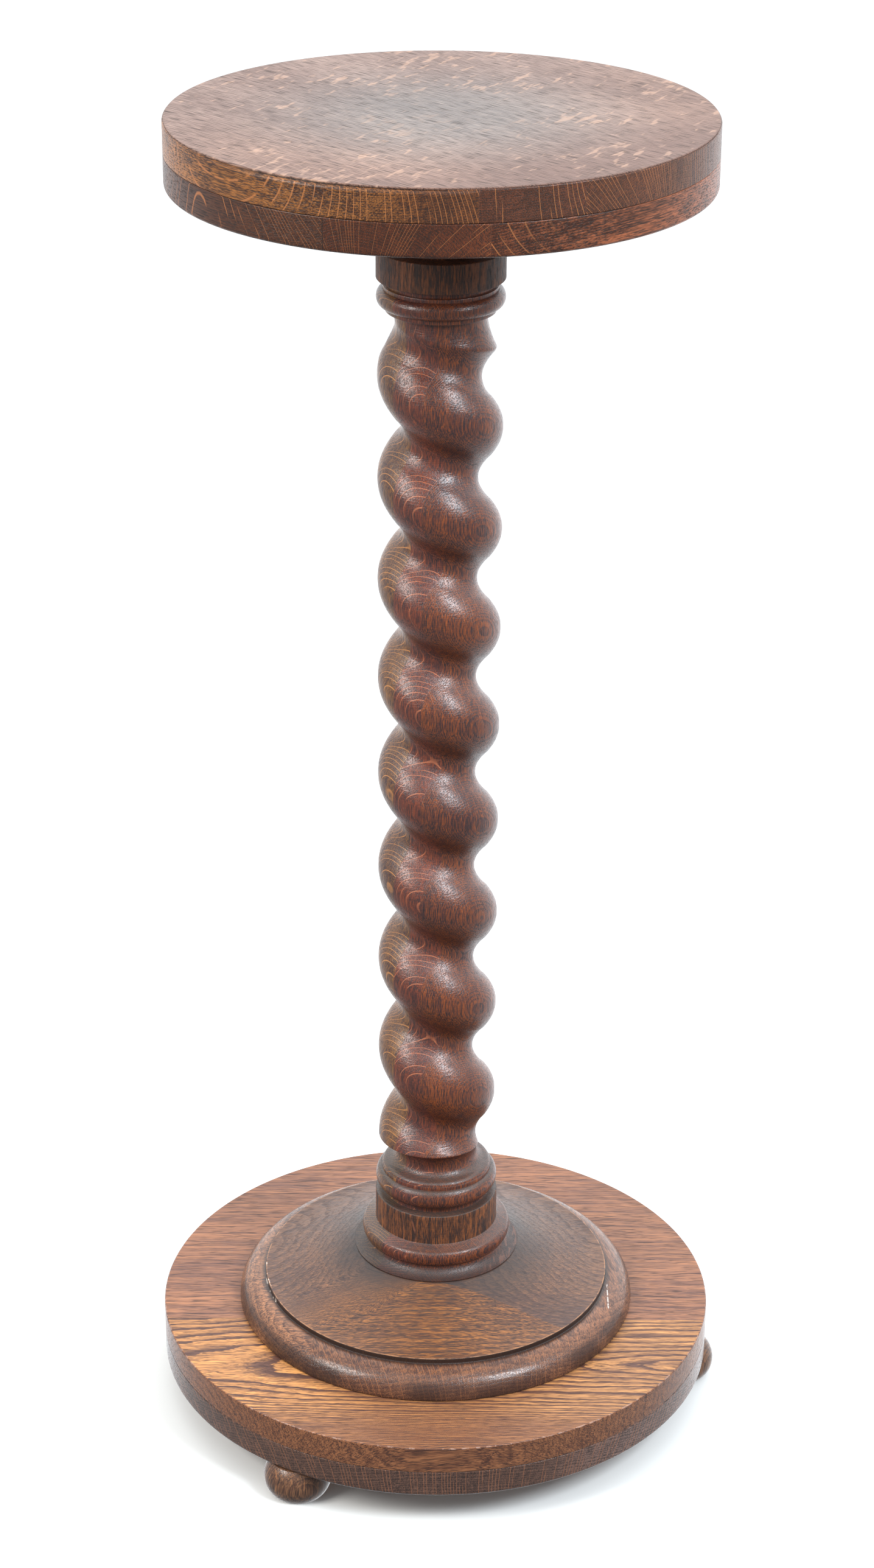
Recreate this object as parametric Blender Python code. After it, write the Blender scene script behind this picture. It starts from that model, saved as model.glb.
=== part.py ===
"""Oak pedestal with a barley-twist column: a round top of two boards under a thin veneer, a turned
and carved column, a turned plinth, a round base of two boards, and three bun feet.

Lengths are in metres and +Z is up. The origin is on the floor, on the axis of the column.
"""

import math

import bmesh
import bpy

# Gap between pieces that touch, such as a glued joint
JOINT_GAP = 0.0003

# Bun feet: height, greatest radius, and the flats against the floor and the base
FOOT_NAMES = ("foot_front_left", "foot_right", "foot_back")
FIRST_FOOT_ANGLE = math.radians(-122.0)
FOOT_RIM_INSET = 0.0185
FOOT_HEIGHT = 0.028
FOOT_RADIUS = 0.0257
FOOT_PAD_RADIUS = 0.0199
FOOT_SEAT_RADIUS = 0.0195

# Round base of two boards
BASE_RADIUS = 0.2112
BASE_LOWER_THICKNESS = 0.0210
BASE_UPPER_THICKNESS = 0.0210
BASE_RIM_EASING = 0.0006
BASE_UNDERSIDE_EASING = 0.0021

# Turned plinth: an ovolo round the edge, a small step, and a dished rise to the column
PLINTH_RADIUS = 0.1523
OVOLO_WIDTH = 0.0201
OVOLO_HEIGHT = 0.0200
STEP_HEIGHT = 0.0042
DISH_RISE = 0.0223
DISH_CURVE = 1.5

# Foot of the column: a flare onto the plinth, then a thick collar
FLARE_RADIUS = 0.0627
FLARE_LIP = 0.0007
FLARE_NECK_RADIUS = 0.0530
FLARE_HEIGHT = 0.0085
COLLAR_RADIUS = 0.0565
COLLAR_NOSE_WIDTH = 0.0028
COLLAR_UNDERCUT = 0.0065
COLLAR_NOSE_HEIGHT = 0.0057
COLLAR_SLOPE_HEIGHT = 0.0027

# Lower drum, the hollow above it, the large bead and its fillet
LOWER_DRUM_RADIUS = 0.0465
LOWER_DRUM_HEIGHT = 0.0242
LOWER_HOLLOW_RADIUS = 0.0396
LOWER_HOLLOW_HEIGHT = 0.0046
LOWER_BEAD_RADIUS = 0.0461
LOWER_BEAD_HEIGHT = 0.0154
LOWER_BEAD_NOSE = 0.0078
LOWER_FILLET_RADIUS = 0.0415
LOWER_FILLET_HEIGHT = 0.0030
SHOULDER_RADIUS = 0.0375
SHOULDER_HEIGHT = 0.0031

# Narrow necks at both ends of the twist, and the coves that cut its ridges off there
LOWER_NECK_RADIUS = 0.0304
LOWER_NECK_RISE = 0.0073
LOWER_COVE_HEIGHT = 0.0150
UPPER_NECK_RADIUS = 0.0324
UPPER_COVE_HEIGHT = 0.0337
UPPER_COVE_POWER = 1.83
LOWER_RUN_OUT = 0.0740
UPPER_RUN_OUT = 0.0540
RUN_OUT_POWER = 0.6

# Single left-handed twist between the necks
TWIST_LENGTH = 0.6644
TWIST_RADIUS = 0.0443
TWIST_HOLLOW_RADIUS = 0.0268
TWIST_PITCH = 0.0757
TWIST_BEAD_SHARE = 0.578
TWIST_START_ANGLE = math.radians(-107.0)

# Mouldings between the upper neck and the upper drum
UPPER_NECK_RISE = 0.0027
UPPER_FILLET_RADIUS = 0.0387
UPPER_FILLET_HEIGHT = 0.0035
UPPER_BEAD_ROOT = 0.0402
UPPER_BEAD_RADIUS = 0.0447
UPPER_BEAD_HEIGHT = 0.0122
UPPER_BAND_HEIGHT = 0.0026
UPPER_GROOVE_RADIUS = 0.0378
UPPER_GROOVE_HEIGHT = 0.0045
UPPER_DRUM_RADIUS = 0.0448
UPPER_DRUM_HEIGHT = 0.0212

# Plain neck above the drum and the cap that spreads under the top
CAP_NECK_RADIUS = 0.0330
CAP_NECK_HEIGHT = 0.0240
CAP_RADIUS = 0.0560
CAP_COVE_HEIGHT = 0.0180
CAP_LIP = 0.0036

# Small easing on the sharp turned edges, and on the rims that meet at a joint
EDGE_EASING = 0.0006
JOINT_EASING = 0.0004

# Round top of two boards under a veneer
TOP_RADIUS = 0.1875
TOP_LOWER_THICKNESS = 0.0228
TOP_UPPER_THICKNESS = 0.0220
TOP_RIM_EASING = 0.0008
TOP_UNDERSIDE_EASING = 0.0027
VENEER_THICKNESS = 0.0010
VENEER_EASING = 0.0002

# Facets: segments round each kind of piece, and rows up the twist for each turn of it
BOARD_SEGMENTS = 48
COLUMN_SEGMENTS = 24
FOOT_SEGMENTS = 16
CURVE_STEPS = 3
NOSE_STEPS = 2
OVOLO_STEPS = 5
DISH_STEPS = 4
LOWER_COVE_STEPS = 4
UPPER_COVE_STEPS = 6
ROWS_PER_TURN = 9

# Edges that bend more than this stay sharp on the turned pieces
SHARP_EDGE_ANGLE = math.radians(32.0)

# Vertices of one turned profile closer than this are one point
WELD_DISTANCE = 1e-6


def oak(name, colour, roughness):
    """Oak with a stain of the given colour."""
    material = bpy.data.materials.new(name)
    material.use_nodes = True
    shader = material.node_tree.nodes["Principled BSDF"]
    shader.inputs["Base Color"].default_value = (*colour, 1.0)
    shader.inputs["Roughness"].default_value = roughness
    shader.inputs["Metallic"].default_value = 0.0
    material.diffuse_color = (*colour, 1.0)
    return material


def quarter(start, end, starts_flat, steps=CURVE_STEPS):
    """Points of a quarter ellipse after start, up to end. It leaves level where starts_flat is
    true and upright where it isn't, and arrives the other way."""
    points = []
    for step in range(1, steps + 1):
        turn = 0.5 * math.pi * step / steps
        across = math.sin(turn) if starts_flat else 1.0 - math.cos(turn)
        up = 1.0 - math.cos(turn) if starts_flat else math.sin(turn)
        radius = start[0] + (end[0] - start[0]) * across
        height = start[1] + (end[1] - start[1]) * up
        points.append((radius, height))
    return points


def turned_mesh(name, profile, segments):
    """Profile of (radius, height) points, bottom to top, turned about the Z axis and closed."""
    bm = bmesh.new()
    outline = [(0.0, profile[0][1]), *profile, (0.0, profile[-1][1])]
    verts = [bm.verts.new((radius, 0.0, height)) for radius, height in outline]
    edges = [bm.edges.new(pair) for pair in zip(verts, verts[1:])]
    bmesh.ops.spin(
        bm,
        geom=verts + edges,
        axis=(0.0, 0.0, 1.0),
        cent=(0.0, 0.0, 0.0),
        angle=2.0 * math.pi,
        steps=segments,
    )
    bmesh.ops.remove_doubles(bm, verts=bm.verts, dist=WELD_DISTANCE)
    bmesh.ops.recalc_face_normals(bm, faces=bm.faces)
    mesh = bpy.data.meshes.new(name)
    bm.to_mesh(mesh)
    bm.free()
    return mesh


def place(name, mesh, material, location, parent, turn=0.0):
    """Object of a mesh, smooth on its round faces and sharp at its turned edges."""
    if not mesh.materials:
        mesh.materials.append(material)
        mesh.shade_smooth()
        mesh.set_sharp_from_angle(angle=SHARP_EDGE_ANGLE)
    piece = bpy.data.objects.new(name, mesh)
    piece.location = location
    piece.rotation_euler = (0.0, 0.0, turn)
    piece.parent = parent
    bpy.context.scene.collection.objects.link(piece)
    return piece


def round_board(name, radius, thickness, lower_easing, upper_easing):
    """Round board with both edges eased. It stands a joint gap above its own height 0."""
    profile = [
        (radius - lower_easing, JOINT_GAP),
        (radius, JOINT_GAP + lower_easing),
        (radius, thickness - upper_easing),
        (radius - upper_easing, thickness),
    ]
    return turned_mesh(name, profile, BOARD_SEGMENTS)


def foot_profile():
    """Bun foot: an ellipse cut flat where it meets the floor and the base."""
    below = math.sqrt(1.0 - (FOOT_PAD_RADIUS / FOOT_RADIUS) ** 2)
    above = math.sqrt(1.0 - (FOOT_SEAT_RADIUS / FOOT_RADIUS) ** 2)
    half_height = FOOT_HEIGHT / (below + above)
    middle = half_height * below
    rows = 2 * CURVE_STEPS
    profile = []
    for row in range(rows + 1):
        height = FOOT_HEIGHT * row / rows
        share = (height - middle) / half_height
        profile.append((FOOT_RADIUS * math.sqrt(1.0 - share * share), height))
    return profile


def plinth_profile():
    """Ovolo, step and dished rise, up to the flat seat of the column."""
    rim = PLINTH_RADIUS - OVOLO_WIDTH
    profile = [(PLINTH_RADIUS, JOINT_GAP)]
    profile += quarter(profile[-1], (rim, OVOLO_HEIGHT), False, OVOLO_STEPS)
    step_top = OVOLO_HEIGHT + STEP_HEIGHT
    profile.append((rim, step_top))
    for step in range(1, DISH_STEPS + 1):
        share = step / DISH_STEPS
        radius = rim + (FLARE_RADIUS - rim) * share
        profile.append((radius, step_top + DISH_RISE * share**DISH_CURVE))
    return profile


def column_foot_profile():
    """From the flare on the plinth up to the lower neck, heights from the foot of the column."""
    profile = [(FLARE_RADIUS, JOINT_GAP), (FLARE_RADIUS, JOINT_GAP + FLARE_LIP)]
    profile += quarter(profile[-1], (FLARE_NECK_RADIUS, FLARE_HEIGHT), True)
    nose = FLARE_HEIGHT + COLLAR_UNDERCUT
    profile += quarter(profile[-1], (COLLAR_RADIUS, nose), True, NOSE_STEPS)
    slope = (COLLAR_RADIUS - COLLAR_NOSE_WIDTH, nose + COLLAR_NOSE_HEIGHT)
    profile += quarter(profile[-1], slope, False, NOSE_STEPS)
    drum_foot = slope[1] + COLLAR_SLOPE_HEIGHT
    drum_top = drum_foot + LOWER_DRUM_HEIGHT
    profile.append((LOWER_DRUM_RADIUS, drum_foot))
    profile.append((LOWER_DRUM_RADIUS, drum_top - EDGE_EASING))
    profile.append((LOWER_DRUM_RADIUS - EDGE_EASING, drum_top))
    bead_foot = drum_top + LOWER_HOLLOW_HEIGHT
    profile.append((LOWER_HOLLOW_RADIUS, drum_top))
    profile.append((LOWER_HOLLOW_RADIUS, bead_foot))
    profile += quarter(profile[-1], (LOWER_BEAD_RADIUS, bead_foot + LOWER_BEAD_NOSE), True)
    bead_top = bead_foot + LOWER_BEAD_HEIGHT
    profile += quarter(profile[-1], (LOWER_FILLET_RADIUS, bead_top), False)
    fillet_top = bead_top + LOWER_FILLET_HEIGHT
    profile.append((LOWER_FILLET_RADIUS, fillet_top))
    shoulder = (SHOULDER_RADIUS, fillet_top + SHOULDER_HEIGHT)
    profile += quarter(profile[-1], shoulder, False, NOSE_STEPS)
    neck = (LOWER_NECK_RADIUS, shoulder[1] + LOWER_NECK_RISE)
    profile += quarter(profile[-1], neck, True)
    return profile


def twist_blank_profile(neck_height):
    """The turned blank of the twist above the lower neck: a cove, the round shaft, a cove."""
    shaft_foot = neck_height + LOWER_COVE_HEIGHT
    shaft_top = neck_height + TWIST_LENGTH - UPPER_COVE_HEIGHT
    neck = (LOWER_NECK_RADIUS, neck_height)
    profile = quarter(neck, (TWIST_RADIUS, shaft_foot), False, LOWER_COVE_STEPS)
    rows = max(2, round(ROWS_PER_TURN * (shaft_top - shaft_foot) / TWIST_PITCH))
    for row in range(1, rows + 1):
        height = shaft_foot + (shaft_top - shaft_foot) * row / rows
        profile.append((TWIST_RADIUS, height))
    for row in range(UPPER_COVE_STEPS - 1, -1, -1):
        share = row / UPPER_COVE_STEPS
        radius = UPPER_NECK_RADIUS + (TWIST_RADIUS - UPPER_NECK_RADIUS) * share**UPPER_COVE_POWER
        profile.append((radius, shaft_top + UPPER_COVE_HEIGHT * (1.0 - share)))
    return profile


def column_head_profile(neck_height):
    """From above the upper neck to the flat cap that the top rests on."""
    fillet_foot = neck_height + UPPER_NECK_RISE
    fillet_top = fillet_foot + UPPER_FILLET_HEIGHT
    neck = (UPPER_NECK_RADIUS, neck_height)
    profile = quarter(neck, (UPPER_FILLET_RADIUS, fillet_foot), False)
    profile.append((UPPER_FILLET_RADIUS, fillet_top))
    bead_nose = (UPPER_BEAD_RADIUS, fillet_top + 0.5 * UPPER_BEAD_HEIGHT)
    profile.append((UPPER_BEAD_ROOT, fillet_top))
    profile += quarter(profile[-1], bead_nose, True)
    bead_top = fillet_top + UPPER_BEAD_HEIGHT
    profile += quarter(profile[-1], (UPPER_BEAD_ROOT, bead_top), False)
    band_top = bead_top + UPPER_BAND_HEIGHT
    profile.append((UPPER_BEAD_ROOT, band_top))
    drum_foot = band_top + UPPER_GROOVE_HEIGHT
    profile.append((UPPER_GROOVE_RADIUS, band_top))
    profile.append((UPPER_GROOVE_RADIUS, drum_foot))
    drum_top = drum_foot + UPPER_DRUM_HEIGHT
    profile.append((UPPER_DRUM_RADIUS - EDGE_EASING, drum_foot))
    profile.append((UPPER_DRUM_RADIUS, drum_foot + EDGE_EASING))
    profile.append((UPPER_DRUM_RADIUS, drum_top - EDGE_EASING))
    profile.append((UPPER_DRUM_RADIUS - EDGE_EASING, drum_top))
    cove_foot = drum_top + CAP_NECK_HEIGHT
    cove_top = cove_foot + CAP_COVE_HEIGHT
    profile.append((CAP_NECK_RADIUS, drum_top))
    profile.append((CAP_NECK_RADIUS, cove_foot))
    profile += quarter(profile[-1], (CAP_RADIUS, cove_top), False)
    profile.append((CAP_RADIUS, cove_top + CAP_LIP))
    return profile


def carve_twist(mesh, neck_height):
    """Cut the helical hollow into the blank: each point between the necks moves in to the twist.

    The phase of a point is its height in turns plus its angle in turns, so the ridge sinks as it
    goes round with the angle, which makes a left-handed screw. Across one turn the ridge is a
    parabola over TWIST_BEAD_SHARE of the pitch and the hollow a parabola over the rest. Near each
    neck the hollow runs out to the neck's radius.
    """
    top = neck_height + TWIST_LENGTH
    for vertex in mesh.vertices:
        x, y, height = vertex.co
        radius = math.hypot(x, y)
        if not neck_height < height < top:
            continue
        angle = math.atan2(y, x) - TWIST_START_ANGLE
        phase = (height - neck_height) / TWIST_PITCH + angle / (2.0 * math.pi)
        from_crest = 2.0 * abs(phase - round(phase))
        if from_crest < TWIST_BEAD_SHARE:
            swell = 1.0 - 0.5 * (from_crest / TWIST_BEAD_SHARE) ** 2
        else:
            swell = 0.5 * ((1.0 - from_crest) / (1.0 - TWIST_BEAD_SHARE)) ** 2
        lower = max(0.0, 1.0 - (height - neck_height) / LOWER_RUN_OUT) ** RUN_OUT_POWER
        upper = max(0.0, 1.0 - (top - height) / UPPER_RUN_OUT) ** RUN_OUT_POWER
        hollow = TWIST_HOLLOW_RADIUS
        hollow += (LOWER_NECK_RADIUS - TWIST_HOLLOW_RADIUS) * lower
        hollow += (UPPER_NECK_RADIUS - TWIST_HOLLOW_RADIUS) * upper
        carved = min(radius, hollow + (TWIST_RADIUS - hollow) * swell)
        vertex.co = (x * carved / radius, y * carved / radius, height)


def column_mesh():
    """The whole column as one turned and carved piece, standing on its own height 0."""
    foot = column_foot_profile()
    lower_neck = foot[-1][1]
    head = column_head_profile(lower_neck + TWIST_LENGTH)
    profile = foot + twist_blank_profile(lower_neck) + head
    mesh = turned_mesh("column", profile, COLUMN_SEGMENTS)
    carve_twist(mesh, lower_neck)
    return mesh, head[-1][1]


def build_feet(material, parent):
    """Like feet, evenly spaced on a circle just inside the rim of the base."""
    mesh = turned_mesh("bun_foot", foot_profile(), FOOT_SEGMENTS)
    ring_radius = BASE_RADIUS - FOOT_RIM_INSET
    for index, name in enumerate(FOOT_NAMES):
        angle = FIRST_FOOT_ANGLE + 2.0 * math.pi * index / len(FOOT_NAMES)
        location = (ring_radius * math.cos(angle), ring_radius * math.sin(angle), 0.0)
        place(name, mesh, material, location, parent, turn=angle)


def build_pedestal():
    """Every piece from the floor up, each standing on the one below with the joint gap."""
    pedestal = bpy.data.objects.new("pedestal", None)
    bpy.context.scene.collection.objects.link(pedestal)

    board_oak = oak("oak_board", (0.235, 0.092, 0.042), 0.42)
    turned_oak = oak("oak_turned", (0.105, 0.045, 0.027), 0.38)
    top_oak = oak("oak_top", (0.290, 0.170, 0.135), 0.36)
    edge_oak = oak("oak_edge", (0.125, 0.055, 0.030), 0.42)

    build_feet(turned_oak, pedestal)

    def stack(name, mesh, material, height, piece_height):
        """Stand a piece at a height and give the height of its top."""
        place(name, mesh, material, (0.0, 0.0, height), pedestal)
        return height + piece_height

    def stack_board(name, radius, thickness, lower_easing, upper_easing, material, height):
        """Stand a board at a height and give the height of its top."""
        mesh = round_board(name, radius, thickness, lower_easing, upper_easing)
        return stack(name, mesh, material, height, thickness)

    height = stack_board(
        "base_board_lower", BASE_RADIUS, BASE_LOWER_THICKNESS,
        BASE_UNDERSIDE_EASING, JOINT_EASING, board_oak, FOOT_HEIGHT,
    )
    height = stack_board(
        "base_board_upper", BASE_RADIUS, BASE_UPPER_THICKNESS,
        JOINT_EASING, BASE_RIM_EASING, board_oak, height,
    )
    profile = plinth_profile()
    mesh = turned_mesh("plinth", profile, BOARD_SEGMENTS)
    height = stack("plinth", mesh, turned_oak, height, profile[-1][1])
    mesh, column_height = column_mesh()
    height = stack("column", mesh, turned_oak, height, column_height)
    height = stack_board(
        "top_board_lower", TOP_RADIUS, TOP_LOWER_THICKNESS,
        TOP_UNDERSIDE_EASING, JOINT_EASING, edge_oak, height,
    )
    height = stack_board(
        "top_board_upper", TOP_RADIUS, TOP_UPPER_THICKNESS,
        JOINT_EASING, JOINT_EASING, edge_oak, height,
    )
    stack_board(
        "top_veneer", TOP_RADIUS - TOP_RIM_EASING, VENEER_THICKNESS,
        VENEER_EASING, VENEER_EASING, top_oak, height,
    )


for old in list(bpy.data.objects):
    bpy.data.objects.remove(old, do_unlink=True)
build_pedestal()
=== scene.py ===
# %% [markdown]
# # An oak pedestal with a barley-twist column
# The real stand is turned, carved and glued from oak: a round top under a thin sheet of veneer, a column
# with one left-handed twist, a turned plinth, a round base of two boards, and three bun feet. The packed
# model gives the place and size of every piece. This lesson makes the fine surface of each one, and then
# its wood.

import math

import bpy
import numpy as np
from mathutils import Matrix, Vector


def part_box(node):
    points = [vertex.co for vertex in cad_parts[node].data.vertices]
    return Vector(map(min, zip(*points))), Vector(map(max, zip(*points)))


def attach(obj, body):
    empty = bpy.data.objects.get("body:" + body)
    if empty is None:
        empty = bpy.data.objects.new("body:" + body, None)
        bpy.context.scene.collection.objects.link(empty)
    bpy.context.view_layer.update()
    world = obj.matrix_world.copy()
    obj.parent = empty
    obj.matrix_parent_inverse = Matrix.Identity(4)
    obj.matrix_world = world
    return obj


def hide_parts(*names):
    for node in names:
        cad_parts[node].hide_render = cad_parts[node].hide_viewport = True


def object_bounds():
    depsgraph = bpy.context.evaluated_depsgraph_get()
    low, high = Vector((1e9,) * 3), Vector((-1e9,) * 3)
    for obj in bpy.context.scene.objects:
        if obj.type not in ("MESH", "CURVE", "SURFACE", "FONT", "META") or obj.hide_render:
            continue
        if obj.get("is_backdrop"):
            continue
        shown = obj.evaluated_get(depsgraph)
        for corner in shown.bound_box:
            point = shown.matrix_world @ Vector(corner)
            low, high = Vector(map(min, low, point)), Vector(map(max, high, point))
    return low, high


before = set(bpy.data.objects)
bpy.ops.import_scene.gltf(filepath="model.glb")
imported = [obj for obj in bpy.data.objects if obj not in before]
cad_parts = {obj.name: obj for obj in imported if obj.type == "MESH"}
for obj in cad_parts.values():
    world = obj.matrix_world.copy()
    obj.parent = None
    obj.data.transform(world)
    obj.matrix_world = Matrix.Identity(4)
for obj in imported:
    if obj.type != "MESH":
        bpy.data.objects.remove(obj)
cad_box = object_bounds()
print("pieces of the packed model:", ", ".join(sorted(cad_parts)))
print("box:", [round(value, 4) for corner in cad_box for value in corner])

# %% [markdown]
# ## Heights of the pieces
# A turner measures a stand from the floor up, and so does this script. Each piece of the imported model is
# asked for its box, so every fine surface starts and ends where its plain solid does.

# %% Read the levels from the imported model


def levels(node):
    """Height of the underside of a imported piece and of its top."""
    low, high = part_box(node)
    return low[2], high[2]


def radius_of(node):
    """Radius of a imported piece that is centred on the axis: half of its width along X."""
    low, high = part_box(node)
    return 0.5 * (high[0] - low[0])


for node in sorted(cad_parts):
    low, high = levels(node)
    print(f"{node}: {low:.4f} to {high:.4f} m, radius {radius_of(node):.4f} m")

# %% [markdown]
# ## Turning on a lathe
# Every piece here but the twist is round, because it was turned. A lathe carries one outline round an
# axis, and so does this helper: the outline is a list of radii and heights, and one numpy grid holds all
# the points. A Screw modifier would do the same, but a grid lets the twist and small damage change the
# radius point by point.

# %% Put an outline on the lathe
SHARP_EDGE = math.radians(40.0)


def mesh_piece(name, grid):
    """Closed surface from a grid of points, rows by columns. Column n joins column 0, and each end row
    is closed by a fan of triangles to the middle of that row."""
    rows, columns = grid.shape[:2]
    points = np.concatenate([grid.reshape(-1, 3), grid[:1].mean(axis=1), grid[-1:].mean(axis=1)])
    row, column = np.meshgrid(np.arange(rows - 1), np.arange(columns), indexing="ij")
    after = (column + 1) % columns
    here, above = row * columns, (row + 1) * columns
    quads = np.stack([here + column, here + after, above + after, above + column], axis=-1).reshape(-1, 4)
    ring = np.arange(columns)
    following = (ring + 1) % columns
    foot, head = rows * columns, rows * columns + 1
    last = (rows - 1) * columns
    fans = np.concatenate(
        [
            np.stack([following, ring, np.full(columns, foot)], axis=-1),
            np.stack([last + ring, last + following, np.full(columns, head)], axis=-1),
        ]
    )
    mesh = bpy.data.meshes.new(name)
    mesh.from_pydata(points.tolist(), [], quads.tolist() + fans.tolist())
    mesh.shade_smooth()
    mesh.set_sharp_from_angle(angle=SHARP_EDGE)
    piece = bpy.data.objects.new(name, mesh)
    bpy.context.scene.collection.objects.link(piece)
    return piece


def turn(outline, segments, carve=None, centre=(0.0, 0.0)):
    """Grid of a turned outline. A point is (r cos a, r sin a, h) for each outline point (r, h) and each
    of the angles a. The function carve, where given, changes r and h as arrays over the whole grid."""
    outline = np.array(outline)
    angles = np.arange(segments) * 2.0 * math.pi / segments
    radius = np.repeat(outline[:, :1], segments, axis=1)
    height = np.repeat(outline[:, 1:], segments, axis=1)
    angle = np.repeat(angles[None, :], len(outline), axis=0)
    if carve:
        radius, height = carve(radius, height, angle)
    return np.stack(
        [centre[0] + radius * np.cos(angle), centre[1] + radius * np.sin(angle), height], axis=-1
    )


def arc(start, end, starts_flat, steps):
    """Quarter ellipse from start to end, without the start: it leaves level where starts_flat is true
    and upright where it isn't."""
    turned = np.arange(1, steps + 1) * 0.5 * math.pi / steps
    across = np.sin(turned) if starts_flat else 1.0 - np.cos(turned)
    up = 1.0 - np.cos(turned) if starts_flat else np.sin(turned)
    return [
        (start[0] + (end[0] - start[0]) * a, start[1] + (end[1] - start[1]) * u)
        for a, u in zip(across, up)
    ]


def line(start, end, steps):
    """Points on a straight line after start, up to end."""
    shares = np.arange(1, steps + 1) / steps
    return [
        (start[0] + (end[0] - start[0]) * s, start[1] + (end[1] - start[1]) * s) for s in shares
    ]


test = turn([(1.0, 0.0), (1.0, 1.0)], 8)
print("a test ring has", test.shape[1], "points, the first at", test[0, 0].round(3))

# %% [markdown]
# ## The column: outline of its foot and head
# The column is one piece of long-grained oak. Below the twist the turner cut a flare that sits on the
# plinth, a thick collar, a drum, a large bead and a small fillet. Above it come a fillet, a bead, a second
# drum and a plain neck. Each moulding is an arc or a line, so the outline is written moulding by moulding.
# Real turned edges are a little soft, so each corner is broken by half a millimetre.

# %% Outlines of the foot and the head of the column
MM = 0.001
# Way to the next point, its radius and height in mm, and the steps to it
FOOT_MOVES = [
    # Flare and collar
    ("line", 57.0, 0.0, 1), ("line", 62.2, 0.0, 1), ("line", 62.7, 0.3, 1), ("line", 62.7, 0.7, 1),
    ("level", 53.0, 8.5, 9), ("level", 56.5, 15.0, 7), ("upright", 53.7, 20.7, 7),
    # Drum
    ("line", 47.0, 23.3, 3), ("line", 46.5, 23.7, 1), ("line", 46.5, 46.8, 8), ("upright", 45.6, 47.6, 3),
    # Hollow and bead
    ("line", 40.1, 47.7, 2), ("level", 39.6, 48.2, 2), ("line", 39.6, 51.7, 2), ("line", 40.1, 52.2, 1),
    ("level", 46.1, 60.0, 9), ("upright", 41.5, 67.6, 9),
    # Fillet, shoulder and neck
    ("line", 41.5, 70.1, 3), ("upright", 41.0, 70.6, 2), ("upright", 37.5, 73.7, 5), ("level", 30.4, 81.0, 9),
]
HEAD_MOVES = [
    # Neck and fillet
    ("line", 32.4, 0.0, 1), ("upright", 38.2, 2.7, 5), ("level", 38.7, 3.2, 2), ("line", 38.7, 6.2, 2),
    # Bead and groove
    ("line", 40.2, 6.3, 1), ("level", 44.7, 12.3, 8), ("upright", 40.2, 18.4, 8), ("line", 40.2, 20.5, 3),
    ("upright", 39.7, 21.0, 2), ("line", 37.8, 21.1, 1), ("line", 37.8, 25.4, 2),
    # Drum
    ("line", 44.0, 25.5, 1), ("level", 44.8, 26.3, 3), ("line", 44.8, 45.9, 8), ("upright", 44.0, 46.7, 3),
    # Plain neck and cap
    ("line", 33.0, 46.8, 1), ("line", 33.0, 70.7, 6), ("upright", 56.0, 88.7, 8), ("line", 56.0, 92.3, 1),
]


def moulding(z, moves):
    """Outline that starts at height z. Each move goes on from the last point by a straight line or by a
    quarter ellipse, which leaves that point level or upright."""
    points = []
    for way, radius, height, steps in moves:
        end = (radius * MM, z + height * MM)
        if way == "line":
            points += line(points[-1] if points else end, end, steps)
        else:
            points += arc(points[-1], end, way == "level", steps)
    return points


column_low, column_high = levels("column")
foot_outline = moulding(column_low, FOOT_MOVES)
lower_neck = foot_outline[-1][1]
TWIST_LENGTH = 664.4 * MM
head_outline = moulding(lower_neck + TWIST_LENGTH, HEAD_MOVES)
print(f"twist from {lower_neck:.4f} to {lower_neck + TWIST_LENGTH:.4f} m")
print(f"the head ends at {head_outline[-1][1]:.4f} m, the packed column at {column_high:.4f} m")

# %% [markdown]
# ## The column: the twist
# A barley twist starts as a round shaft. The carver marks a helix on it, saws along the marks and rounds
# what is left with rasps, so one ridge winds down like a vine. Here it is one formula instead of a swept
# tube: the height in turns plus the angle in turns is the phase, and the phase says how far a point lies
# from the crest. Because the angle is added, the ridge sinks as it goes round, a left-handed screw. Near
# both necks a cove cuts the ridge off, so the surface is the lower of two: the turned cove and the twist.
# A soft minimum of both leaves the small worn radius that a carved edge has.

# %% Carve the twist
TWIST_RADIUS = 44.3 * MM
TWIST_HOLLOW = 26.8 * MM
TWIST_PITCH = 75.7 * MM
TWIST_START = math.radians(-107.0)
BEAD_SHARE = 0.578
LOWER_NECK = 30.4 * MM
UPPER_NECK = 32.4 * MM
LOWER_COVE = 15.0 * MM
UPPER_COVE = 33.7 * MM
UPPER_COVE_POWER = 1.83
LOWER_RUN_OUT = 74.0 * MM
UPPER_RUN_OUT = 54.0 * MM
RUN_OUT_POWER = 0.6
SOFT_EDGE = 0.9 * MM
EDGE = 0.5 * MM
COLUMN_SEGMENTS = 176
TWIST_ROWS = 340


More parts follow.
